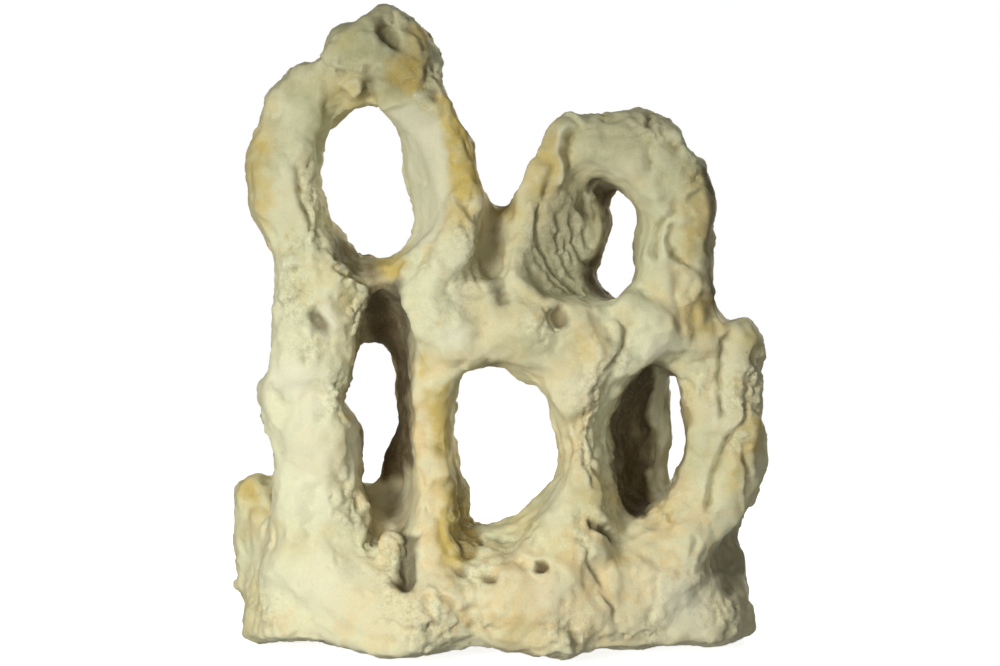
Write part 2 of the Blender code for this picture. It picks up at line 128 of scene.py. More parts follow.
# ---- the details, drawn in elevation
# Cracks are (half width, depth, drawn points), in millimetres.
CRACKS = [
    # the left crown
    (0.9, 1.1, [(-46, 287), (-45.7, 282), (-47.5, 277)]),
    (0.9, 1.1, [(-52, 282), (-49.8, 279.5), (-50, 276)]),
    (1.2, 0.8, [(-72, 243), (-71, 236)]),
    (1.2, 0.8, [(-68, 242), (-67, 237)]),
    (1.6, 0.8, [(-84, 258), (-82, 250)]),
    (1.6, 0.7, [(-90, 238), (-89, 230), (-91, 224)]),
    # the left limb, and the lump at the foot of the column
    (1.2, 1.1, [(-80.5, 198), (-79.5, 191), (-79, 185)]),
    (1.0, 1.5, [(-53, 46.5), (-49, 43.5), (-44, 45)]),
    (1.2, 0.9, [(-84, 217), (-85, 212), (-83, 207)]),
    (1.1, 0.8, [(-83.5, 190), (-85, 185), (-84, 180)]),
    # the left column
    (1.3, 1.3, [(-87.5, 134), (-86.8, 129), (-86.5, 124)]),
    (1.6, 1.0, [(-101, 120), (-100.5, 112), (-97.5, 107)]),
    (1.3, 0.6, [(-91, 100), (-89, 93)]),
    (1.6, 1.8, [(-59.8, 55), (-60, 49), (-58.8, 43.5)]),
    (1.0, 1.2, [(-56.5, 51), (-58, 44.5)]),
    (1.2, 0.9, [(-63.5, 45), (-65.5, 38)]),
    (1.2, 1.0, [(-70.5, 74), (-69, 70), (-71.5, 66)]),
    (2.0, 1.0, [(-91, 32), (-92, 26), (-90.6, 19)]),
    (1.8, 0.6, [(-77, 41), (-78, 30)]),
    (0.9, 1.0, [(-50, 15.5), (-45, 12), (-41.5, 8.5), (-39.5, 4), (-41, 0), (-42, -6)]),
    # the valley between the towers
    (1.1, 1.2, [(-11.5, 206), (-13.5, 200), (-14, 195)]),
    (1.1, 1.2, [(-11, 171), (-10, 164), (-7, 158)]),
    (1.0, 1.0, [(-0.5, 169), (1.2, 163), (4.5, 159)]),
    (1.0, 0.5, [(6, 155), (14, 154.3), (21, 155)]),
    (1.6, 0.6, [(-35, 151), (-32.5, 145), (-29.5, 140), (-25.5, 136.5)]),
    # the band across the middle
    (1.2, 1.0, [(18, 150), (18.5, 145), (18, 140), (19, 134)]),
    (1.1, 0.8, [(12, 146), (14, 141), (17, 138)]),
    (0.9, 0.8, [(50.5, 141.5), (47.5, 144), (43.5, 145.5)]),
    # the right arch and the limb under it
    (1.4, 1.2, [(62.5, 242), (65.5, 237), (67.5, 231)]),
    (1.5, 0.6, [(53, 232), (52.5, 226)]),
    (1.2, 0.8, [(66, 217), (69, 214), (72, 212)]),
    (1.8, 1.3, [(85, 169), (86, 165), (85.5, 158), (87, 154)]),
    (1.4, 0.8, [(76, 167), (78, 160), (80, 151)]),
    (1.4, 1.2, [(107.3, 120), (106.5, 115), (105, 110)]),
    (1.5, 1.6, [(88, 52), (88.5, 46), (87, 42), (85, 38)]),
    (1.4, 0.7, [(77, 45), (75, 40), (76, 35)]),
    # the lower right hole's rim
    (1.1, 1.0, [(40, 98), (38.5, 93), (39.5, 87)]),
    (1.0, 1.4, [(71, 63), (73, 62), (76, 57), (81, 54)]),
    (1.0, 0.9, [(74.5, 63), (76, 59.5), (75.5, 55.5)]),
    # the base
    (1.1, 1.1, [(33.5, 61), (33.8, 57), (36.5, 55)]),
    (1.1, 1.2, [(36, 53), (37.5, 49), (38, 44), (40, 40), (40.5, 34), (42, 30)]),
    (1.5, 1.6, [(73, 31), (70.3, 28), (69.7, 22), (70.4, 17)]),
    (1.4, 0.9, [(70, 15), (68, 10.5), (68.5, 6)]),
    (1.3, 1.3, [(3.2, 41), (2.4, 36), (4.5, 31)]),
    (1.0, 0.8, [(5, 30), (8.5, 25.5)]),
    (1.0, 1.2, [(12, 32), (16, 27), (20, 26)]),
    (1.0, 0.9, [(25, 29.5), (29.5, 25.5)]),
    (1.0, 0.9, [(32.5, 24), (36, 20)]),
    (1.0, 0.8, [(31, 20), (29.8, 15)]),
    (1.5, 1.4, [(33.5, 7), (34.7, 2), (36.5, -5)]),
    (1.2, 1.0, [(28, 5), (26.5, -3)]),
    (1.4, 0.7, [(19.5, 7), (21, -3)]),
    (1.3, 1.3, [(-30, 18), (-30.6, 12), (-29.5, 8), (-27, 4.5), (-24, 0), (-23, -4)]),
    (1.0, 1.0, [(-33.5, 13), (-32.5, 7.5), (-31, 3)]),
    (1.4, 0.7, [(-9.5, 12), (-7, 6), (-4.5, 1)]),
    (1.0, 0.8, [(-17.5, 13), (-15, 8)]),
    (1.5, 0.7, [(-23, 66), (-20.5, 56), (-17.5, 46), (-14, 37)]),
    (1.3, 0.6, [(-27, 60), (-26, 50), (-23, 41), (-21, 35)]),
    (1.3, 1.2, [(-10, 52), (-8.3, 46), (-9, 41)]),
    (1.2, 1.3, [(-15.5, 30.5), (-11, 26), (-9, 22)]),
    (1.3, 0.9, [(100.5, 21), (101, 14.5), (103.5, 8)]),
    (1.2, 0.8, [(96.5, 13), (99, 9.5), (102, 6.5)]),
    (1.3, 1.0, [(104.3, 6), (104, 0)]),
    (1.1, 0.8, [(79, 35), (81.5, 30)]),
]

# Folds are (rise, fall, drop, reach, drawn points), in millimetres. The ground on the left of the run stands
# proud by the rise, and comes down over the drop's width to the run itself, which is sunk by the fall.
FOLDS = [
    # the left crown
    (0.5, 3.0, 4.5, 5, [(-43, 265), (-46, 269.5), (-50, 275), (-56, 278)]),
    (0.8, 1.8, 2.5, 5, [(-41, 266), (-39, 263.5), (-36, 262.5), (-32, 263)]),
    (0.6, 2.5, 3.0, 5, [(-36, 247), (-33, 253), (-31.5, 259), (-32, 263)]),
    (1.2, 1.0, 3.6, 7, [(-75.5, 230), (-76.5, 240), (-76.5, 252), (-79, 260)]),
    # the left limb, its foot, and the column
    (0.5, 2.2, 4.4, 5, [(-80, 183), (-82, 188), (-84.5, 194), (-86.8, 201), (-86.8, 207), (-88.5, 212),
                        (-92, 217)]),
    (1.5, 3.0, 2.5, 6, [(-56.5, 156), (-57, 162), (-60, 163.5), (-65, 165.5), (-70, 167), (-74, 170)]),
    (0.5, 3.2, 4.5, 5, [(-75.5, 140.5), (-78, 144), (-81.5, 148), (-85, 151)]),
    (0.6, 1.6, 3.0, 12, [(-66.5, 72), (-67, 86), (-67.5, 100)]),
    # the middle
    (1.0, 1.2, 2.0, 5, [(-9, 188), (-13, 193.5), (-16.5, 197.5), (-20.5, 205)]),
    (1.6, 2.6, 2.6, 6, [(45, 121.5), (48, 125.5), (52, 130), (55, 134), (56.5, 139), (55.5, 143),
                        (53, 148)]),
    # the right arch
    (2.0, 5.4, 4.2, 5, [(27, 204), (29.5, 210), (30.5, 217), (30.5, 224), (33, 229), (37, 231)]),
    (1.0, 2.4, 3.0, 4, [(19, 198), (20, 205), (22, 211), (23.5, 217)]),
    (1.0, 1.2, 1.5, 3, [(27, 235.5), (32, 235), (35, 233), (37, 231)]),
    (0.8, 1.8, 1.5, 4, [(73, 229), (76, 226), (80, 224), (83, 221)]),
    (0.6, 1.2, 5.0, 6, [(67.5, 208), (66.5, 218), (67, 230)]),
    # the bowl's layers
    (0.4, 1.4, 2.0, 2.5, [(39, 155), (31, 158), (25, 162.5), (20, 168), (16, 174), (14, 181)]),
    (0.8, 2.8, 2.4, 3, [(40, 157), (33, 160), (28, 164.5), (23, 169), (19.5, 175), (17, 181), (15.5, 187),
                        (17.5, 193), (18, 199)]),
    (0.3, 1.2, 1.6, 2, [(36, 160), (31, 164), (26.5, 169), (23, 175), (21, 182)]),
    (0.5, 2.0, 2.0, 2.5, [(38, 163), (33, 167), (29, 171.5), (26.5, 177), (25, 183), (26, 189),
                          (24, 196)]),
    (0.3, 1.3, 1.6, 2, [(35, 169), (32, 174), (29.5, 180), (29.5, 186)]),
    (0.5, 1.8, 1.8, 2.5, [(43, 168), (38.5, 171), (35, 176), (33, 181), (33, 188), (31, 194)]),
    (0.3, 1.3, 1.6, 2, [(42, 175), (39, 180), (37, 186), (37, 191)]),
    # the right limb's two crescents
    (0.5, 3.4, 2.6, 3, [(69.5, 171), (68.5, 176), (68.3, 181), (69, 186), (70.5, 189.5), (74, 192),
                        (76.5, 195), (77.5, 200)]),
    (1.2, 3.8, 3.0, 3.5, [(85, 169.5), (83.5, 171.5), (80, 173.5), (77, 176), (75, 180), (74.5, 184),
                        (75.5, 188), (78, 192)]),
    # the lower right limb
    (1.0, 3.0, 2.6, 5, [(97.5, 101), (98.5, 105), (98, 112), (97.5, 122), (98.5, 130), (100, 136),
                        (104, 143)]),
    (1.0, 3.6, 2.6, 5, [(92.5, 58), (93, 63), (94.5, 68), (95.5, 74), (97, 79.5), (98.5, 84), (101, 88.5),
                        (102.5, 92), (105, 95), (109, 99), (110.5, 103), (110.5, 108), (111, 113)]),
    (0.8, 3.0, 2.5, 4, [(111, 66), (111.5, 72), (110.5, 78), (109, 83), (108.5, 88)]),
    (0.5, 1.6, 2.0, 3, [(114, 124), (112, 130), (112, 135)]),
    (0.5, 1.6, 2.0, 3, [(113, 106), (116, 103.5)]),
    # the lower right hole's rim, and the base
    (1.0, 2.4, 2.5, 4, [(47.5, 62), (47, 66), (46, 71), (44, 76), (42, 80), (42, 85)]),
    (0.6, 1.4, 1.6, 3, [(40.5, 68), (40, 72), (38.5, 80), (38, 88)]),
    (1.2, 1.4, 2.0, 4, [(-38, 19), (-30, 19.8), (-25, 18.8), (-21, 17), (-20.5, 11)]),
    (0.8, 2.6, 3.0, 4, [(47, 24), (43.5, 29), (42, 33), (40.5, 37)]),
    (0.6, 2.2, 3.0, 4, [(52.5, 6), (53, 11), (52, 15), (48, 19), (44, 22)]),
]

# Dents and swells are (x, z, half width, half height, turn in degrees, depth or height), in millimetres. A
# dent has a flat bottom and a swell a round top. A dent of less than no depth is a knob with a flat top.
DENTS = [
    (-64.5, 249.6, 6.4, 5.6, 0, -3.6),
    (-58, 249, 3.0, 5.0, 0, 2.4),
    (-58, 258, 2.0, 3.0, 0, 1.3),
    (-28.5, 246.5, 2.6, 4.8, 0, 1.8),
    (-72, 241, 5.0, 9.0, -30, 1.5),
    (-66, 174, 11, 4.5, -38, 2.6),
    (-75, 65, 1.8, 2.4, 0, 1.2),
    (-73, 60, 2.4, 3.6, 0, 0.9),
    (-47.8, 44.5, 5.6, 6.2, 25, -1.0),
    (-6, 180, 7.0, 14.0, 5, 1.5),
    (2.5, 156, 3.6, 4.5, -30, 2.4),
    (-13, 46, 6.0, 13.0, 20, 1.6),
    (-18, 32.5, 3.6, 2.8, -35, 2.2),
    (-4.8, 28.7, 4.8, 2.8, -25, 3.0),
    (18.5, 33.6, 3.6, 4.4, -20, 4.5),
    (11.5, 34, 3.6, 3.4, 0, 1.6),
    (46.5, 50.5, 9.5, 2.8, -35, 3.4),
    (24.5, 149.3, 6.5, 5.6, -45, 1.6),
    (11.5, 143.5, 2.6, 3.2, 0, 1.2),
    (45, 236, 1.8, 1.5, 0, 1.0),
    (65.5, 236, 1.8, 4.6, -15, 1.4),
    (71, 231, 1.4, 3.4, 0, 1.2),
    (17, 195.5, 3.2, 6.0, 15, 2.0),
    (37, 198, 3.0, 5.5, 20, 2.0),
    (43, 205, 5.0, 3.5, 0, 2.4),
    (114, 69, 5.0, 11.0, -25, 1.2),
    (99, 37, 6.0, 10.0, -30, 1.4),
    (35, -1, 3.0, 5.0, 0, 2.0),
    (48, 104, 4.0, 16.0, 0, 1.5),
]
SWELLS = [
    (-36, 270, 5.0, 6.0, 20, 1.6),
    (-40, 257, 5.0, 5.0, 0, 1.2),
    (-83, 201, 3.0, 8.5, 10, 1.4),
    (-75, 151, 8.0, 9.0, -20, 1.8),
    (-77.5, 147.5, 2.6, 5.5, 35, 2.0),
    (-86, 142, 2.6, 4.5, 35, 1.6),
    (-104, 40, 6.0, 25.0, 0, 1.4),
    (-12.5, 173, 3.6, 2.6, 20, 1.4),
    (6.5, 167, 3.0, 10.0, -8, 1.4),
    (40, 136, 9.5, 8.0, 0, 1.6),
    (57, 133, 2.6, 6.0, -15, 1.2),
    (51, 53.5, 8.0, 2.6, -33, 1.6),
    (52, 26, 7.0, 9.0, 0, 1.0),
    (84, 184, 6.0, 8.0, 10, 1.6),
    (113, 96, 3.6, 7.0, -15, 1.8),
    (113.5, 80, 2.6, 5.0, 0, 1.0),
    (103, 80, 4.0, 9.0, -15, 1.4),
    (98, 70, 2.6, 9.0, -8, 1.2),
    (106.5, 36, 3.0, 3.6, 0, 2.0),
    (110, 138, 5.0, 7.0, 0, 1.2),
    (78, 230, 3.4, 3.6, 0, 1.2),
    (13.5, 38.5, 4.0, 1.4, -25, 0.8),
]

# Patches are (x, z, half width, half height, strength), drawn, and fade out from their middles.
WORN = [
    (-50, 275, 13, 12, 1.0),  # the crown's pit
    (-82, 146, 9, 9, 0.8),  # the left column's pit
    (-43, 38, 9, 14, 0.6),  # the slit at the column's foot
]
ROUGH = [
    (-83, 203, 5, 14, 1.0), (-82, 183, 7, 6, 0.9), (-92, 163, 6, 14, 0.9), (-90, 150, 4, 6, 0.9),
    (-71, 170, 4, 8, 1.0), (-62, 150, 4, 14, 1.0), (-84, 134, 6, 7, 0.9), (-74, 113, 8, 10, 1.2),
    (-66, 88, 4, 18, 0.7), (-66, 62, 7, 12, 0.9), (-59, 50, 5, 10, 1.0), (-48, 44, 6, 8, 1.0),
    (-50, 26, 4, 12, 0.8), (-15, 182, 5, 12, 1.1), (-12, 172, 6, 5, 1.1), (-18, 164, 9, 12, 0.7),
    (-24, 150, 12, 9, 0.45), (12, 180, 4, 16, 0.5), (28, 182, 12, 17, 0.6), (30, 200, 8, 7, 0.6),
    (16, 143, 6, 9, 0.7), (53, 131, 7, 12, 0.8), (41, 107, 5, 18, 1.3), (40, 84, 7, 12, 0.8),
    (48, 66, 6, 10, 0.8), (37, 50, 6, 12, 0.8),
    (111, 116, 8, 12, 1.2), (106, 93, 7, 7, 1.1), (66, 232, 6, 9, 0.8), (86, 208, 6, 10, 0.6),
    (-32, 8, 11, 13, 1.1), (-40, 15, 8, 6, 0.8), (-16, 50, 8, 16, 0.9), (-10, 30, 12, 6, 0.7),
    (30, 4, 14, 12, 0.8), (69, 5, 7, 12, 0.9), (100, 10, 10, 12, 0.9), (92, 28, 10, 8, 0.6),
    (-60, 256, 6, 6, 0.8), (-33, 252, 6, 14, 0.9), (-47, 278, 5, 6, 0.7), (-103, 12, 8, 12, 0.5),
    (6, 46, 8, 6, 0.5), (84, 146, 8, 8, 0.4), (60, 118, 8, 6, 0.3), (-20, 225, 5, 22, 0.5),
]
OCHRE = [
    (-18, 194, 6, 8, 0.7), (-24, 92, 3, 24, 0.7), (-35, 126, 1.6, 5, 1.0), (-113, 69, 6, 7, 0.9),
    (-108, 60, 6, 10, 0.5), (92, 143, 8, 5, 0.9), (-106, 224, 5, 8, 0.8), (-106, 204, 5, 14, 0.6),
    (2, 195, 7, 4, 1.0), (38, 136, 7, 8, 0.5), (105, 75, 4, 9, 0.8), (84, 100, 3, 20, 0.5),
    (44, 66, 8, 12, 0.5), (8, 4, 10, 9, 0.4), (-2, 62, 3, 3, 0.4), (-66, 246, 12, 9, 0.6),
    (22, 216, 5, 16, 0.7), (113, 95, 5, 10, 0.7), (112, 138, 5, 8, 0.6), (-94, 45, 8, 10, 0.25),
    (-112, 12, 7, 14, 0.4), (74, 60, 5, 4, 0.5), (10, 54, 8, 5, 0.4), (28, 45, 10, 10, 0.25),
    (54, 37, 6, 3, 0.5), (86, 195, 6, 20, 0.5), (-68, 103, 3, 2.5, 0.8), (-68, 156, 5, 8, 0.4),
    (-70, 272, 6, 5, 0.3), (-24, 70, 4, 10, 0.6), (106, 117, 3, 4, 0.6), (-88, 160, 6, 5, 0.4),
    (-109, 215, 5, 20, 0.7), (18, 206, 6, 16, 0.7), (88, 205, 5, 10, 0.5), (90, 150, 8, 10, 0.7),
]
# Partly chalky tone and partly painted light: the pale patches lighten places that lie in shade, and hold off
# the painted shade of the recesses.
PALE_AND_LIT = [
    (-76, 147, 5, 8, 1.0), (-93, 118, 15, 10, 1.0), (-84, 110, 8, 6, 0.9), (-86, 80, 12, 34, 0.6),
    (-20, 139, 7, 6, 1.0), (-17, 162, 8, 16, 0.5), (72, 131, 8, 6, 1.0), (-84, 28, 22, 20, 0.5),
    (-64, 32, 8, 10, 0.5), (48, 214, 14, 8, 0.4), (84, 16, 16, 15, 1.0), (24, 66, 5, 12, 0.7),
    (-95, 202, 5, 14, 0.4), (-36, 30, 6, 8, 0.4), (22, 20, 8, 9, 0.5), (54, 120, 7, 4, 0.6),
    (105, 125, 6, 8, 0.5), (98, 108, 6, 8, 0.4), (36, 116, 7, 8, 0.5), (102, 60, 5, 12, 0.4),
    (15, 124, 8, 4, 0.3),
]
WARM_PLACES = [
    (15, 15, 50, 26, 0.9), (70, 30, 34, 22, 0.7), (34, 45, 14, 20, 0.8), (-34, 95, 9, 34, 0.9),
    (-30, 45, 10, 26, 0.8), (36, 92, 8, 26, 0.5), (-26, 222, 8, 40, 0.6), (-40, 262, 12, 14, 0.8),
    (40, 138, 12, 8, 0.7), (-58, 176, 12, 8, 0.6), (-112, 60, 8, 14, 0.6), (90, 60, 12, 14, 0.7),
    (92, 90, 10, 30, 0.5), (-85, 8, 30, 12, 0.3), (108, 90, 8, 18, 0.7), (-62, 118, 4, 18, 0.4),
    (-10, 195, 10, 20, 0.6), (22, 215, 8, 20, 0.6), (84, 150, 12, 10, 0.5), (-20, 128, 10, 8, 0.4),
    (0, 146, 24, 10, 0.5), (85, 188, 10, 26, 0.5), (-108, 210, 8, 26, 0.5), (78, 62, 26, 20, 0.7),
    (92, 120, 8, 20, 0.6), (-28, 70, 10, 30, 0.7), (-51, 60, 11, 16, 1.0),
]
# Partly an olive tint and partly painted shade: these places, most of them on the crown, the arch and the
# other upper parts, darken towards olive; the painted part stands for the light falling off towards the top.
DULL_AND_SHADED = [
    (-58, 270, 26, 20, 1.0), (-84, 246, 12, 14, 0.7), (48, 228, 36, 14, 0.7), (80, 210, 14, 22, 0.6),
    (-36, 256, 12, 18, 0.8), (24, 215, 14, 18, 0.6), (64, 185, 6, 24, 0.5), (84, 185, 12, 24, 0.4),
    (112, 92, 8, 18, 0.2), (-107, 210, 6, 22, 0.6), (-116, 50, 6, 30, 0.4), (-55, 178, 12, 6, 0.3),
    (110, 30, 9, 30, 0.6), (24, 185, 16, 26, 0.8), (0, 150, 20, 8, 0.4), (112, 135, 7, 12, 0.7),
    (-95, 225, 12, 20, 0.4), (10, 136, 14, 7, 0.6), (-43, 253, 15, 12, 1.0), (-90, 250, 12, 12, 0.6),
    (90, 86, 10, 14, 0.4), (38, 66, 8, 10, 0.55), (-33, 212, 8, 18, 0.35), (20, 66, 6, 5, 0.4),
    (-19, 226, 6, 28, 0.7), (-95, 190, 16, 24, 0.25), (-80, 222, 16, 18, 0.35), (28, 176, 16, 18, 0.6),
]

# Zones are (strength, softness in millimetres, drawn outline).
OCHRE_ZONES = [
    (1.0, 1.5, [(-29, 247), (-17, 243), (-9, 226), (-5, 212), (-8, 203), (-18, 200), (-22, 206),
                (-23, 226)]),
    (1.0, 3, [(-50, 262), (-40, 264), (-33, 262), (-34, 250), (-38, 246), (-44, 250), (-50, 255)]),
    (0.7, 3, [(-40, 277), (-31, 275), (-31, 264), (-40, 265)]),
    (0.9, 2, [(-33, 118), (-24, 118), (-22, 100), (-23, 84), (-30, 84), (-33, 100)]),
    (1.0, 2.5, [(-27, 66), (-22, 72), (-15, 60), (-9, 50), (-9, 42), (-14, 36), (-26, 34), (-28, 50)]),
    (0.9, 2, [(-56, 174), (-44, 175), (-40, 170), (-43, 165), (-52, 165)]),
    (0.5, 4, [(80, 175), (92, 175), (92, 212), (82, 214)]),
    (0.7, 3, [(84, 138), (84, 150), (95, 150), (97, 138)]),
    (0.6, 3, [(109, 85), (108, 104), (118, 106), (120, 86)]),
]
# Painted light for the most part: the first three zones lighten the lower right hole's back wall, the left
# column's right side and the lower left hole's floor, which lie in shade.
PALE_AND_LIT_ZONES = [
    (1.0, 1.5, [(69, 123), (77, 122), (75, 110), (75, 84), (80, 73), (70, 62), (68, 75), (68, 98)]),
    (1.0, 2, [(-71, 74), (-70, 92), (-70, 106), (-62, 105), (-61, 92), (-61, 74)]),
    (0.55, 3, [(-62, 72), (-42, 74), (-40, 56), (-46, 50), (-56, 52)]),
    (1.0, 1.5, [(-50, 240), (-37, 243), (-27, 236), (-23, 220), (-23, 195), (-29, 180), (-40, 178),
                (-38, 195), (-42, 215), (-45, 230)]),
]
# Partly a real tone and partly painted shade: these zones darken the left column's right side and the upper
# right hole's bowl, where they lie in shade.
GREY_AND_SHADE_ZONES = [
    (0.5, 2, [(-63, 163), (-57, 162), (-57, 138), (-63, 136)]),
    (0.58, 3, [(8, 166), (20, 156), (40, 158), (42, 176), (40, 205), (26, 206), (14, 200), (10, 182)]),
]
# Painted shade, partly dark patina: these zones darken the hollows, the recesses, the pits and the right edge,
# where they lie in shade, towards near black brown.
DIRT_AND_SHADE_ZONES = [
    # the recess over the left column, and the lower left hole
    (0.75, 3, [(-75, 187), (-66, 180), (-56, 174.5), (-52, 168), (-57, 163.5), (-65, 166), (-70, 170),
               (-74, 178)]),
    (0.88, 2.5, [(-57, 163), (-42, 164), (-39.5, 150), (-39, 120), (-38.5, 100), (-39, 80), (-52, 72),
                 (-54, 88), (-48, 100), (-47, 125), (-57, 138), (-60, 150)]),
    (1.0, 2, [(-50, 134), (-41, 134), (-40, 120), (-39.5, 98), (-40.5, 82), (-52, 72), (-54, 88), (-48, 100),
              (-47, 125)]),
    (0.62, 3, [(-49, 68), (-43.5, 68), (-43, 60), (-43, 49), (-48, 49), (-50, 57)]),
    (0.8, 1.5, [(-45, 49), (-37, 48), (-36, 36), (-38, 21), (-45, 20), (-48, 30)]),
    # the valley between the towers
    (0.4, 3, [(-8, 196), (-3, 197), (2, 192), (2, 182), (-1, 172), (-3, 166), (-9, 166), (-12, 176),
              (-11, 184), (-9, 190)]),
    (0.7, 3, [(-8, 166), (-2, 166), (5, 156), (3, 153), (-2, 154)]),
    # the lower right hole
    (0.97, 1.5, [(56, 117), (60, 121.5), (65, 125.5), (70, 126), (68, 118), (66, 95), (67, 70), (68, 61),
                 (65, 57), (62, 56), (58, 58), (54, 63), (51, 70), (50, 86), (50, 95), (51.5, 103),
                 (54, 112)]),
    # the upper right hole
    (0.8, 2, [(36, 172), (41, 174), (46, 178), (42, 168), (47, 160), (52, 157), (45, 157), (41, 161),
              (36, 166)]),
    (0.75, 1.5, [(39.5, 209), (45, 209.5), (50, 207), (54, 204), (48, 200), (47, 197), (42, 199), (40, 203)]),
    (0.6, 2, [(36, 199), (41, 199), (42, 191), (37, 191)]),
    # the right edge, and the hollow at the foot of the right limb
    (0.8, 2, [(90, 216), (92.5, 216), (95, 205), (94, 190), (93, 180), (94, 165), (96.5, 148), (93, 145),
              (91, 158), (90.5, 172), (92, 185), (92, 200), (90, 210)]),
    (0.5, 2.5, [(107, 52), (97, 42), (92.5, 36.5), (95, 31), (100, 28), (101, 22), (104.5, 21), (108, 24),
                 (111, 20), (112, 30), (109, 45), (107, 50)]),
    # the centre hole's left wall, and under its lip
    (0.55, 2, [(-23, 80), (-19, 80), (-15, 70), (-17, 60), (-14, 56), (-9, 54), (-8, 48), (-10, 40),
               (-15, 36), (-19, 38), (-17, 52), (-22, 62)]),
    (0.3, 1.5, [(-21, 121), (-17, 121), (-20, 105), (-21, 92), (-19, 85), (-23, 85), (-24, 95), (-22, 108)]),
    (0.6, 2, [(-10, 124), (-6, 127), (-1, 130), (0, 126), (-5, 122)]),
    # small pits
    (0.8, 1.2, [(38, 55), (43, 54.5), (49, 51), (53, 47.5), (54, 45.5), (51, 45.5), (46, 48.5), (41, 52)]),
    (0.8, 1.5, [(15.5, 31), (16, 36), (19.5, 37), (21.5, 34), (20.5, 30.5), (17, 29.5)]),
    (0.6, 1.5, [(-9, 31.5), (-5, 31.5), (-1, 28.5), (-1, 26), (-5, 27)]),
    (0.5, 1.5, [(-20, 33), (-17, 36), (-14, 34), (-15, 30), (-19, 30)]),
    (0.6, 2, [(21, 152), (27, 153), (31, 148), (30, 143), (26, 143)]),
    (0.6, 2, [(-85, 150), (-80, 149), (-75, 142), (-77, 139), (-83, 143)]),
    (0.6, 2, [(-58, 281), (-51, 281), (-48, 274), (-43, 267), (-47, 267), (-53, 271)]),
    (0.28, 5, [(-54, 266), (-34, 268), (-32, 248), (-50, 246)]),
    (0.5, 2, [(-60, 256), (-55, 256), (-54, 247), (-59, 243), (-60, 248)]),
    (0.4, 2, [(-36, 265), (-31, 263), (-31, 257), (-35, 257)]),
    (0.4, 2, [(-32, 252), (-28, 250), (-28, 243), (-31, 243)]),
    (0.35, 2, [(-17, 232), (-12, 222), (-9, 208), (-11, 205), (-14, 218), (-18, 230)]),
    (0.5, 1.5, [(33, -5), (33, 3), (37, 3), (38, -5)]),
]


# ---- the skin's geometry


class Skin:
    """A mesh's points, with what is needed to move them and to spread values over them."""

    def __init__(self, mesh):
        self.mesh = mesh
        count = len(mesh.vertices)
        self.points = np.empty(count * 3)
        mesh.vertices.foreach_get("co", self.points)
        self.points = self.points.reshape(-1, 3)
        edges = np.empty(len(mesh.edges) * 2, dtype=np.int32)
        mesh.edges.foreach_get("vertices", edges)
        self.edges = edges.reshape(-1, 2)
        self.degree = np.bincount(edges, minlength=count)

    def normals(self):
        self.mesh.vertices.foreach_set("co", self.points.ravel())
        self.mesh.update()
        out = np.empty(self.points.size)
        self.mesh.vertices.foreach_get("normal", out)
        return out.reshape(-1, 3)

    def spread(self, values, rounds):
        """Each value averaged with its neighbours', that many times."""
        a, b = self.edges.T
        for _ in range(rounds):
            total = np.bincount(a, values[b], len(values)) + np.bincount(b, values[a], len(values))
            values = (values + total / self.degree) / 2
        return values

    def push(self, distance):
        """Moves each point out along its normal, by metres."""
        self.points += self.normals() * distance[:, None]


def weld(mesh):
    shape = bmesh.new()
    shape.from_mesh(mesh)
    bmesh.ops.remove_doubles(shape, verts=shape.verts, dist=1e-6)
    shape.to_mesh(mesh)
    shape.free()


def fine_skin(node):
    """A smooth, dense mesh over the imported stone, as an object."""
    mesh = node.data.copy()
    mesh.name = "rock_surface"
    weld(mesh)
    stone = bpy.data.objects.new("rock_surface", mesh)
    bpy.context.scene.collection.objects.link(stone)
    round_off = stone.modifiers.new("round_off", "SUBSURF")
    round_off.levels = round_off.render_levels = 2
    skin = stone.modifiers.new("skin", "REMESH")
    skin.mode = "VOXEL"
    skin.voxel_size = GRAIN
    soften = stone.modifiers.new("soften", "SMOOTH")
    soften.iterations = 8
    apply_modifiers(stone)
    return stone


def apply_modifiers(stone):
    depsgraph = bpy.context.evaluated_depsgraph_get()
    mesh = bpy.data.meshes.new_from_object(stone.evaluated_get(depsgraph))
    stone.modifiers.clear()
    stone.data = mesh


def drawn(points):
    """Where each point is seen on the plane y = 0, in millimetres."""
    share = EYE.y / (EYE.y - points[:, 1])
    x = EYE.x + (points[:, 0] - EYE.x) * share
    z = EYE.z + (points[:, 2] - EYE.z) * share
    return np.stack([x, z], 1) / MM


def seen(skin, tree):
    """1 for the points that the eye sees, 0 for the others, with soft edges."""
    points, normals = skin.points, skin.normals()
    shown = np.zeros(len(points))
    for i, (p, n) in enumerate(zip(points, normals)):
        start = Vector(p + n * GRAIN)
        sight = EYE - start
        if sight.dot(Vector(n)) > 0 and tree.ray_cast(start, sight)[0] is None:
            shown[i] = 1
    return np.clip(skin.spread(shown, 3), 0, 1)


def beside(places, line):
    """Each place's distance to a drawn line, positive on its left, and how far that lies from the ends."""
    line = np.array(line, float)
    runs = np.diff(line, axis=0)
    lengths = np.linalg.norm(runs, axis=1)
    starts = np.concatenate([[0], np.cumsum(lengths)])
    nearest = np.full(len(places), 1e9)
    side, at = np.ones(len(places)), np.zeros(len(places))
    for start, run, length, before in zip(line, runs, lengths, starts):
        away = places - start
        share = np.clip(away @ run / length**2, 0, 1)
        distance = np.linalg.norm(away - share[:, None] * run, axis=1)
        closer = distance < nearest
        nearest[closer] = distance[closer]
        side[closer] = np.where(run[0] * away[closer, 1] > run[1] * away[closer, 0], 1, -1)
        at[closer] = before + share[closer] * length
    return side * nearest, np.minimum(at, starts[-1] - at)


def from_oval(places, x, z, half_width, half_height, turn=0):
    """0 at an oval's middle and 1 on its edge."""
    c, s = math.cos(math.radians(turn)), math.sin(math.radians(turn))
    across, up = places[:, 0] - x, places[:, 1] - z
    return np.hypot((across * c + up * s) / half_width, (up * c - across * s) / half_height)


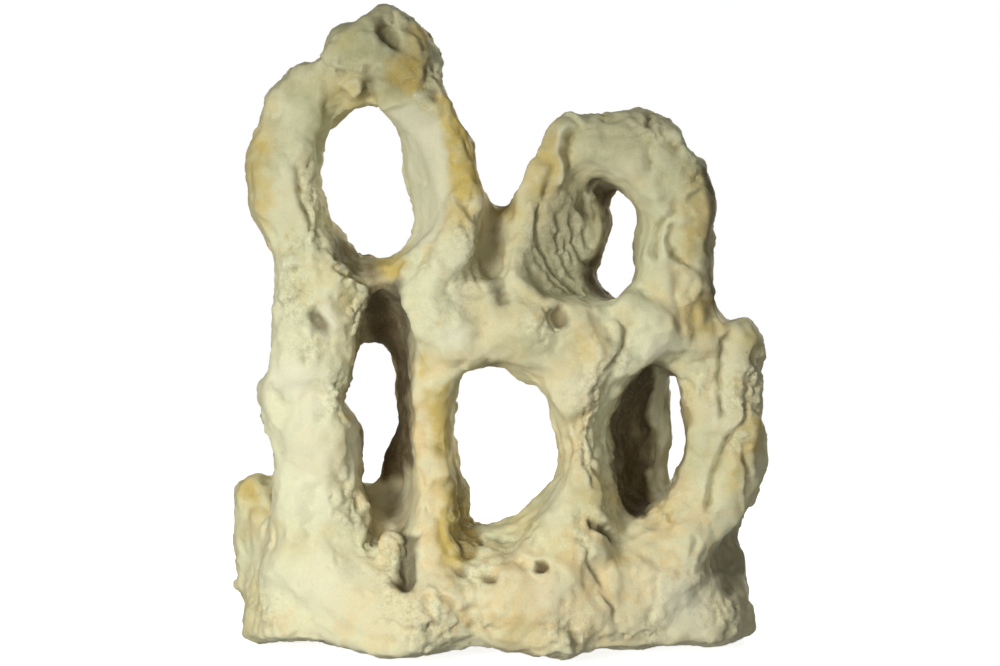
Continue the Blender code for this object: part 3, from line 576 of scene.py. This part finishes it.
def step_up(values, low, high):
    t = np.clip((values - low) / (high - low), 0, 1)
    return t * t * (3 - 2 * t)


def inside(places, outline, softness):
    """1 inside a drawn outline and 0 outside it, with a soft edge."""
    closed = outline + outline[:1]
    away = np.abs(beside(places, closed)[0])
    x, z = places.T
    within = np.zeros(len(places), bool)
    for (x1, z1), (x2, z2) in zip(closed, closed[1:]):
        if z1 != z2:
            within ^= ((z1 > z) != (z2 > z)) & (x < x1 + (x2 - x1) * (z - z1) / (z2 - z1))
    return step_up(np.where(within, away, -away), -softness, softness)


def patches(places, ovals, zones=()):
    """The strongest of the ovals and zones at each place."""
    total = np.zeros(len(places))
    for x, z, half_width, half_height, strength in ovals:
        total = np.maximum(total, strength * np.exp(-from_oval(places, x, z, half_width, half_height) ** 2))
    for strength, softness, outline in zones:
        here = near(places, outline, softness)
        total[here] = np.maximum(total[here], strength * inside(places[here], outline, softness))
    return total


def fractal(points, size, octaves, shift=0.0):
    """Soft noise of about that size in millimetres, from about -1 to 1."""
    moved = points / (size * MM) + shift
    return np.array([noise.fractal(p, FADING, FINER, octaves) for p in moved.tolist()])


def ridges(points, size, octaves, shift=0.0):
    """Noise with sharp crests, from about -1 to 1."""
    moved = points / (size * MM) + shift
    offset, gain = 1.0, 1.8
    heights = [noise.ridged_multi_fractal(p, FADING, FINER, octaves, offset, gain) for p in moved.tolist()]
    return np.array(heights) - 1


def near(places, line, margin):
    """Which places lie in the line's box, with a margin."""
    low, high = np.min(line, 0) - margin, np.max(line, 0) + margin
    return np.flatnonzero(((places > low) & (places < high)).all(1))


def carving(places):
    """How far the drawn details push the skin out, in millimetres."""
    out = np.zeros(len(places))
    for half_width, depth, line in CRACKS:
        here = near(places, line, half_width * 3)
        away, inward = beside(places[here], line)
        taper = step_up(inward, -1, 5)
        across = np.abs(away) / (half_width * (0.5 + 0.5 * taper))
        out[here] -= depth * taper * np.clip(1 - across / 1.9, 0, 1) ** 1.4
    for rise, fall, drop, reach, line in FOLDS:
        here = near(places, line, drop + reach * 2.2)
        away, inward = beside(places[here], line)
        taper = step_up(inward, -1, 6)
        crest = rise * np.exp(-((np.maximum(away - drop, 0) / reach) ** 1.5))
        foot = -fall * np.exp(-((np.abs(np.minimum(away, 0)) / (reach * 0.8)) ** 1.3))
        out[here] += taper * (foot + (crest - foot) * step_up(away, -0.3, drop * (0.4 + 0.6 * taper)))
    for x, z, half_width, half_height, turn, depth in DENTS:
        out -= depth * (1 - step_up(from_oval(places, x, z, half_width, half_height, turn), 0.45, 1.15))
    for x, z, half_width, half_height, turn, height in SWELLS:
        out += height * np.exp(-from_oval(places, x, z, half_width, half_height, turn) ** 2)
    return out


def facets(points, size, shift):
    """Flats of about that size in millimetres, each tilted its own way, with soft edges between them."""
    moved = points / (size * MM) + shift
    near_by = [noise.voronoi(p) for p in moved.tolist()]
    away = np.array([distances for distances, _ in near_by])
    middles = np.array([[tuple(middle) for middle in found] for _, found in near_by])
    # A cell's tilt is worked out from its middle alone, so it is the same on every run.
    tilts = np.sin(middles * (12.9, 78.2, 37.7) * 7 + (1, 2, 3)) - middles[:, :, (1, 2, 0)] % 0.5
    weights = np.exp(-(away - away[:, :1]) / 0.10)
    heights = ((moved[:, None] - middles) * tilts).sum(2)
    return (weights * heights).sum(1) / weights.sum(1)


def relief(points, rough, calm, facing):
    """The weathering that covers the whole stone, in millimetres."""
    swell = fractal(points, 22, 2, 1.3) * 0.8 + fractal(points, 8, 2, 6.1) * 0.5
    flats = (facets(points, 24, 1.7) * 4.5 + facets(points, 10, 4.1) * (1.5 + 0.8 * rough)) * facing
    chips = facets(points, 4.5, 2.9) * (0.50 + 0.55 * rough)
    folds = -np.abs(fractal(points, 9, 2, 2.2)) * (0.4 + 0.9 * rough) + 0.2
    crag = ridges(points, 5, 3, 2.7) * (0.12 + 0.45 * rough)
    pits = -step_up(fractal(points, 3.0, 2, 8.8), 0.1, 0.6) * (0.12 + 0.8 * rough)
    grit = fractal(points, 1.7, 2, 4.4) * (0.09 + 0.26 * rough)
    return swell + (flats + chips + folds) * (1 - 0.65 * calm) + crag + pits + grit


def faces_eye(skin):
    """1 where the skin faces the eye or its back, and less where it is seen edge on, to keep the outline."""
    sight = np.array(EYE) - skin.points
    sight /= np.linalg.norm(sight, axis=1)[:, None]
    return 0.4 + 0.6 * step_up(np.abs((skin.normals() * sight).sum(1)), 0.15, 0.65)


def wobble(points):
    """How far each place is shifted on the drawing, so that the drawn edges don't run smooth."""
    fine = np.stack([fractal(points, 5, 2, 3.1), fractal(points, 5, 2, 7.7)], 1) * 1.0
    broad = np.stack([fractal(points, 15, 1, 4.3), fractal(points, 15, 1, 8.9)], 1) * 1.3
    return fine + broad


def roughness(points, places, shown, smooth):
    """How crumbly the skin is: as drawn where it is seen, and by noise, mostly behind."""
    drawn_rough = patches(places, ROUGH) * shown
    unseen_rough = step_up(fractal(points, 30, 2, 5.5), 0.0, 0.5) * (1 - shown * 0.75)
    return np.clip(drawn_rough + unseen_rough, 0, 1.2) * (1 - 0.75 * smooth)


def sculpt(skin, places, shown, calm, rough):
    """Pushes the skin in and out, and gives how far, in millimetres."""
    out = carving(places) * shown + relief(skin.points, rough, calm, faces_eye(skin))
    out = np.where(out < 0, out * (1 + DEEPER_BEHIND * (1 - shown)), out)
    out *= step_up(skin.points[:, 2], 0.0, FOOT)
    before = skin.normals()
    skin.push(out * MM)
    mend(skin, before)
    keep_to_box(skin.points)
    skin.normals()
    return out


# The stains, and also painted shade: the olive mask darkens the upper parts, and the near black mask the holes
# and recesses.
def set_stains_and_shade(mesh, points, places, shown):
    behind = 1 - shown
    unseen_ochre = 0.6 * step_up(fractal(points, 40, 2, 9.9), 0.1, 0.7)
    unseen_warmth = step_up(fractal(points, 60, 2, 7.3), -0.4, 0.6)
    set_mask(mesh, "ochre", patches(places, OCHRE, OCHRE_ZONES) * shown + unseen_ochre * behind)
    set_mask(mesh, "warm", patches(places, WARM_PLACES) * shown + unseen_warmth * behind)
    set_mask(mesh, "dull_and_shaded", patches(places, DULL_AND_SHADED) * shown)
    set_mask(mesh, "dirt_and_shade", patches(places, (), DIRT_AND_SHADE_ZONES) * shown)


def build_rock():
    stone = fine_skin(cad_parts["rock"])
    skin = Skin(stone.data)
    tree = BVHTree.FromObject(stone, bpy.context.evaluated_depsgraph_get())
    shown = seen(skin, tree)
    open_sky = openness(skin, tree)
    wear(skin, patches(drawn(skin.points), WORN) * shown)
    places = drawn(skin.points) + wobble(skin.points)

    smooth = patches(places, PALE_AND_LIT, PALE_AND_LIT_ZONES) * shown
    grey_and_shade = patches(places, (), GREY_AND_SHADE_ZONES) * shown
    calm = np.maximum(smooth, np.minimum(grey_and_shade * 2, 1))
    rough = roughness(skin.points, places, shown, smooth)
    out = sculpt(skin, places, shown, calm, rough)

    set_stains_and_shade(stone.data, skin.points, places, shown)
    set_mask(stone.data, "pale", smooth)
    set_mask(stone.data, "grey_and_shade", grey_and_shade)
    # How closed in each point is, which paints shade into the recesses.
    set_mask(stone.data, "deep", 1 - open_sky)
    set_mask(stone.data, "crease", crease(skin, out))
    set_mask(stone.data, "rough", rough)
    thin_out(stone, shown)
    for face in stone.data.polygons:
        face.use_smooth = True
    return stone


def keep_to_box(points):
    """Holds the skin to the CAD's box and a little more, and to the floor."""
    lowest, highest = (np.array(corner) for corner in cad_box)
    room = PROUD * (highest - lowest)
    points[:] = np.clip(points, lowest - room, highest + room)
    points[:, 2] = np.maximum(points[:, 2], 0)


def wear(skin, worn):
    """Rounds the edges of the CAD's pits where the values say so."""
    for axis in range(3):
        level = skin.points[:, axis]
        level += worn * (skin.spread(level, WEAR_ROUNDS) - level)


def mend(skin, before):
    """Smooths the skin where the push has folded it over itself."""
    folded = (before * skin.normals()).sum(1) < FOLDED
    share = np.clip(skin.spread(folded.astype(float), 6) * 3, 0, 1)[:, None]
    smoothed = np.stack([skin.spread(skin.points[:, axis], MEND_ROUNDS) for axis in range(3)], 1)
    skin.points += (smoothed - skin.points) * share


def crease(skin, out):
    """How far each point lies below its surroundings, in millimetres, from the height that was pushed out."""
    return np.clip(skin.spread(out, 30) - out, -2, 3)


def openness(skin, tree):
    """How much of its own half of the sky each point sees, from 0 to 1."""
    rng = np.random.default_rng(11)
    ways = rng.normal(size=(SKY_RAYS, 3))
    ways /= np.linalg.norm(ways, axis=1)[:, None]
    ways = [Vector(w) for w in ways]
    clear = np.zeros(len(skin.points))
    for i, (p, n) in enumerate(zip(skin.points, skin.normals())):
        normal = Vector(n)
        start = Vector(p) + normal * GRAIN
        total = weight = 0.0
        for way in ways:
            cosine = normal.dot(way)
            if cosine < 0:
                way, cosine = -way, -cosine
            weight += cosine
            if tree.ray_cast(start, way, SKY_REACH)[0] is None:
                total += cosine
        clear[i] = total / weight
    return skin.spread(clear, 12)


def set_mask(mesh, name, values):
    layer = mesh.attributes.new(name, "FLOAT", "POINT")
    layer.data.foreach_set("value", values.astype(np.float32))


def thin_out(stone, shown):
    """Fewer triangles, with rather more of them kept where the camera looks."""
    keep = stone.vertex_groups.new(name="keep")
    keep.add(np.flatnonzero(shown < 0.5).tolist(), KEEP_BEHIND, "REPLACE")
    keep.add(np.flatnonzero(shown >= 0.5).tolist(), KEEP_IN_SIGHT, "REPLACE")
    triangles = sum(len(f.vertices) - 2 for f in stone.data.polygons)
    fewer = stone.modifiers.new("fewer", "DECIMATE")
    fewer.ratio = min(1.0, MOST_TRIANGLES / triangles)
    fewer.vertex_group = "keep"
    fewer.vertex_group_factor = KEEP_STRENGTH
    fewer.invert_vertex_group = True
    apply_modifiers(stone)


# ---- the sandstone


def sandstone():
    made = bpy.data.materials.new("sandstone")
    made.use_nodes = True
    tree = made.node_tree
    nodes, links = tree.nodes, tree.links
    shader = nodes["Principled BSDF"]
    shader.inputs["Roughness"].default_value = 0.95
    shader.inputs["Specular IOR Level"].default_value = 0.25
    place = nodes.new("ShaderNodeTexCoord").outputs["Object"]

    def clouds(size, detail, roughness=0.55):
        made = nodes.new("ShaderNodeTexNoise")
        made.inputs["Scale"].default_value = 1 / (size * MM)
        made.inputs["Detail"].default_value = detail
        made.inputs["Roughness"].default_value = roughness
        links.new(place, made.inputs["Vector"])
        return made.outputs["Fac"]

    def mask(name):
        made = nodes.new("ShaderNodeAttribute")
        made.attribute_name = name
        return made.outputs["Fac"]

    def ramp(value, low, high, to_low=0.0, to_high=1.0):
        made = nodes.new("ShaderNodeMapRange")
        made.inputs["From Min"].default_value = low
        made.inputs["From Max"].default_value = high
        made.inputs["To Min"].default_value = to_low
        made.inputs["To Max"].default_value = to_high
        links.new(value, made.inputs["Value"])
        return made.outputs["Result"]

    def maths(kind, a, b):
        made = nodes.new("ShaderNodeMath")
        made.operation = kind
        for socket, value in zip(made.inputs, (a, b)):
            if isinstance(value, (int, float)):
                socket.default_value = value
            else:
                links.new(value, socket)
        return made.outputs["Value"]

    def mixed(share, under, over):
        made = nodes.new("ShaderNodeMix")
        made.data_type = "RGBA"
        made.clamp_factor = True
        links.new(share, made.inputs["Factor"])
        for socket, value in ((made.inputs["A"], under), (made.inputs["B"], over)):
            if isinstance(value, tuple):
                socket.default_value = (*value, 1)
            else:
                links.new(value, socket)
        return made.outputs["Result"]

    broad, blotches, middle, small = clouds(38, 3), clouds(14, 3), clouds(7, 4), clouds(2.2, 3)
    grains = clouds(0.8, 2, 0.6)
    deep, crease, rough = mask("deep"), mask("crease"), mask("rough")

    def share(mask_name, noise_value, low, high, least, most):
        return maths("MULTIPLY", mask(mask_name), ramp(noise_value, low, high, least, most))

    colour = mixed(ramp(broad, 0.46, 0.54, 0.0, 0.5), CREAM, SAND)
    colour = mixed(ramp(blotches, 0.55, 0.61, 0.0, 0.55), colour, YELLOWED)
    colour = mixed(share("warm", middle, 0.42, 0.56, 0.4, 1.0), colour, WARM)
    colour = mixed(share("warm", blotches, 0.54, 0.60, 0.0, 0.5), colour, RUST)
    # Partly chalky tone, partly painted light: the pale places pale towards chalk.
    colour = mixed(share("pale", middle, 0.35, 0.60, 0.5, 0.8), colour, CHALK)
    # Partly olive tint, partly painted shade: these places darken, most of them on the upper parts.
    colour = mixed(share("dull_and_shaded", middle, 0.30, 0.60, 0.5, 0.9), colour, OLIVE)
    colour = mixed(share("ochre", middle, 0.35, 0.55, 0.6, 1.0), colour, OCHRE_STAIN)
    # Partly a real tone, partly painted shade: the zones on the column's side and in the bowl darken.
    colour = mixed(share("grey_and_shade", small, 0.35, 0.60, 0.3, 0.8), colour, GREY_BROWN)
    colour = mixed(share("rough", small, 0.48, 0.62, 0.0, 0.40), colour, GREY_BROWN)
    # Painted shade and highlight: the skin lying below its surroundings darkens towards brown, and the skin
    # standing above them pales towards chalk.
    colour = mixed(ramp(crease, 0.3, 1.6, 0.0, 0.65), colour, BROWN)
    colour = mixed(ramp(crease, -0.3, -1.6, 0.0, 0.45), colour, CHALK)
    # Painted shade, partly the brown patina of the hollows: the recesses that see little of the sky darken
    # towards dark brown, less so in the pale places.
    shaded = maths("MULTIPLY", ramp(deep, 0.50, 0.92, 0.0, 0.8), ramp(mask("pale"), 0.0, 1.0, 1.0, 0.2))
    colour = mixed(shaded, colour, DARK_BROWN)
    # Painted shade, partly dark patina: the hollows, recesses, pits and right edge darken towards near black
    # brown.
    colour = mixed(share("dirt_and_shade", middle, 0.30, 0.60, 0.85, 1.0), colour, DIRT_AND_SHADE)
    gritty = ramp(rough, 0.0, 1.0, 0.35, 1.0)
    colour = mixed(maths("MULTIPLY", gritty, ramp(grains, 0.30, 0.48, 0.30, 0.0)), colour, BROWN)
    colour = mixed(maths("MULTIPLY", gritty, ramp(grains, 0.54, 0.72, 0.0, 0.30)), colour, CHALK)
    links.new(colour, shader.inputs["Base Color"])

    height = maths("ADD", maths("MULTIPLY", small, 0.8), maths("MULTIPLY", grains, 0.45))
    height = maths("MULTIPLY", height, ramp(rough, 0.0, 1.0, 0.5, 1.6))
    bump = nodes.new("ShaderNodeBump")
    bump.inputs["Strength"].default_value = 0.75
    bump.inputs["Distance"].default_value = 0.5 * MM
    links.new(height, bump.inputs["Height"])
    links.new(bump.outputs["Normal"], shader.inputs["Normal"])
    return made


# ---- the studio


def add(name, data, place=(0, 0, 0), aim=None):
    made = bpy.data.objects.new(name, data)
    bpy.context.scene.collection.objects.link(made)
    made.location = place
    if aim is not None:
        made.rotation_euler = (Vector(aim) - Vector(place)).to_track_quat("-Z", "Y").to_euler()
    return made


def soft_light(name, place, size, watts, aim=(0, 0, 0.12), spread=180):
    lamp = bpy.data.lights.new(name, "AREA")
    lamp.shape = "DISK"
    lamp.size = size
    lamp.energy = watts
    lamp.spread = math.radians(spread)
    return add(name, lamp, place, aim)


def floor():
    """A pale floor that glows a little, as a lit table does, and fades out into the white round it.

    It doesn't light the stone, because its glow would turn the foot yellow.
    """
    shape = bmesh.new()
    bmesh.ops.create_grid(shape, x_segments=1, y_segments=1, size=FLOOR_FADES[1] * 1.1)
    mesh = bpy.data.meshes.new("floor")
    shape.to_mesh(mesh)
    shape.free()
    made = add("floor", mesh, place=(0, 0, FLOOR_LEVEL))
    white = bpy.data.materials.new("pale_floor")
    white.use_nodes = True
    nodes, links = white.node_tree.nodes, white.node_tree.links
    shader = nodes["Principled BSDF"]
    shader.inputs["Base Color"].default_value = (0.9, 0.9, 0.9, 1)
    shader.inputs["Roughness"].default_value = 0.9
    shader.inputs["Emission Color"].default_value = (1, 1, 1, 1)
    shader.inputs["Emission Strength"].default_value = FLOOR_GLOW
    place = nodes.new("ShaderNodeTexCoord")
    radius = nodes.new("ShaderNodeVectorMath")
    radius.operation = "LENGTH"
    links.new(place.outputs["Object"], radius.inputs[0])
    fade = nodes.new("ShaderNodeMapRange")
    fade.interpolation_type = "SMOOTHSTEP"
    fade.inputs["From Min"].default_value = FLOOR_FADES[0]
    fade.inputs["From Max"].default_value = FLOOR_FADES[1]
    fade.inputs["To Min"].default_value = 1
    fade.inputs["To Max"].default_value = 0
    links.new(radius.outputs["Value"], fade.inputs["Value"])
    links.new(fade.outputs["Result"], shader.inputs["Alpha"])
    mesh.materials.append(white)
    made.visible_diffuse = False


def studio():
    world = bpy.data.worlds.new("studio")
    bpy.context.scene.world = world
    world.use_nodes = True
    nodes, links = world.node_tree.nodes, world.node_tree.links
    sky = nodes["Background"]
    sky.inputs["Color"].default_value = (1, 1, 1, 1)
    rays = nodes.new("ShaderNodeLightPath")
    strength = nodes.new("ShaderNodeMapRange")
    strength.inputs["To Min"].default_value = AMBIENT
    strength.inputs["To Max"].default_value = 1.0
    links.new(rays.outputs["Is Camera Ray"], strength.inputs["Value"])
    links.new(strength.outputs["Result"], sky.inputs["Strength"])
    soft_light("key", (-0.54, -1.06, 0.38), 0.36, 1.37, aim=(-0.06, 0, 0.02), spread=60)
    soft_light("low", (0.05, -1.10, 0.08), 0.50, 0.22, aim=(0, 0, 0), spread=50)
    soft_light("fill", (0.9, -0.8, 0.5), 0.9, 0.42)
    soft_light("back", (0.45, 1.25, 0.40), 0.6, 2.0, aim=(0, 0, 0.08), spread=60)
    floor()


def camera():
    lens = bpy.data.cameras.new("camera")
    lens.lens = LENS
    lens.sensor_width = SENSOR
    bpy.context.scene.camera = add("camera", lens, EYE, aim=AIM)
    bpy.context.scene.view_settings.view_transform = "Standard"


def main():
    rock = build_rock()
    rock.data.materials.clear()
    rock.data.materials.append(sandstone())
    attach(rock, "root")
    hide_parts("rock")
    studio()
    camera()


main()
